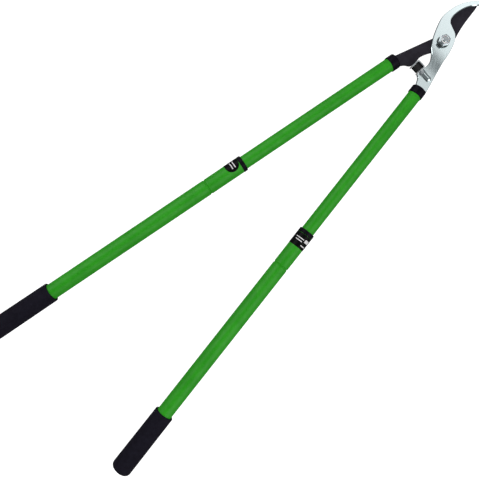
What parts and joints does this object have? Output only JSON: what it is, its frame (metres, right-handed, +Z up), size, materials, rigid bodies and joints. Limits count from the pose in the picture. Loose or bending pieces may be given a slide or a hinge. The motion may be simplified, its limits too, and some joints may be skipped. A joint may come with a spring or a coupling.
{
  "type": "telescoping bypass lopper",
  "caption": "Two-handed bypass lopper: a curved cutting blade closes past a hooked counter blade, on telescoping twist-lock tube handles with rubber grips.",
  "frame": {"origin": "middle of the tool's footprint, on the surface that it lies on with both handles pulled out and the jaws closed", "axes": "+X along the tool from the grips to the tips of the jaws, +Y towards the cutting blade's handle, +Z up, out of the hook's face with the pivot nut"},
  "size_m": [0.9946, 0.3532, 0.0382],
  "materials": {
    "coated_blade": "dark low-friction coating, satin",
    "polished_hook": "bright polished steel",
    "zinc_hardware": "bright zinc plate",
    "darkened_steel": "darkened spring washer, satin",
    "nylon_ring": "natural nylon",
    "bumper_rubber": "matte black rubber",
    "black_plastic": "moulded black plastic, satin",
    "green_enamel": "semi-gloss green enamel on steel tube",
    "label_film": "glossy black label film with plain white bars",
    "grip_rubber": "matte black moulded grip"
  },
  "bodies": {
    "hook_side": {"hook_blade": "polished_hook", "pivot_bolt": "zinc_hardware", "pivot_nut": "zinc_hardware", "pivot_nut_ring": "nylon_ring", "pivot_washer_front": "darkened_steel", "pivot_washer_back": "zinc_hardware", "bumper": "bumper_rubber", "bumper_clip": "zinc_hardware", "bumper_stud": "zinc_hardware", "bumper_jam_nut": "zinc_hardware", "hook_head_ferrule": "black_plastic", "hook_upper_tube": "green_enamel", "hook_tang_plug": "black_plastic", "hook_tang_pin": "zinc_hardware", "hook_lock_spindle": "black_plastic"},
    "blade_side": {"cutting_blade": "coated_blade", "cutter_head_ferrule": "black_plastic", "cutter_upper_tube": "green_enamel", "cutter_tang_plug": "black_plastic", "cutter_tang_pin": "zinc_hardware", "cutter_lock_spindle": "black_plastic"},
    "hook_lock": {"hook_lock_sleeve": "black_plastic"},
    "cutter_lock": {"cutter_lock_sleeve": "black_plastic"},
    "hook_lower_handle": {"hook_guide_bush": "black_plastic", "hook_lower_tube": "green_enamel", "hook_label": "label_film", "hook_grip": "grip_rubber", "hook_end_plug": "black_plastic"},
    "cutter_lower_handle": {"cutter_guide_bush": "black_plastic", "cutter_lower_tube": "green_enamel", "cutter_label": "label_film", "cutter_grip": "grip_rubber", "cutter_end_plug": "black_plastic"}
  },
  "joints": [
    {"name": "pivot", "type": "hinge", "parent": "hook_side", "child": "blade_side", "pos_m": [0.40029, 0, 0.0179], "axis": [0, 0, -1], "range_deg": [0, 60]},
    {"name": "cutter_twist_lock", "type": "hinge", "parent": "blade_side", "child": "cutter_lock", "pos_m": [0.40322, 0.01857, 0.0179], "axis": [-0.9878, 0.1556, 0], "range_deg": [0, 90]},
    {"name": "cutter_telescope", "type": "slide", "parent": "cutter_lock", "child": "cutter_lower_handle", "axis": [0.9878, -0.1556, 0], "range_m": [0, 0.285]},
    {"name": "hook_twist_lock", "type": "hinge", "parent": "hook_side", "child": "hook_lock", "pos_m": [0.40322, -0.01857, 0.0179], "axis": [-0.9878, -0.1556, 0], "range_deg": [0, 90]},
    {"name": "hook_telescope", "type": "slide", "parent": "hook_lock", "child": "hook_lower_handle", "axis": [0.9878, 0.1556, 0], "range_m": [0, 0.285]}
  ]
}
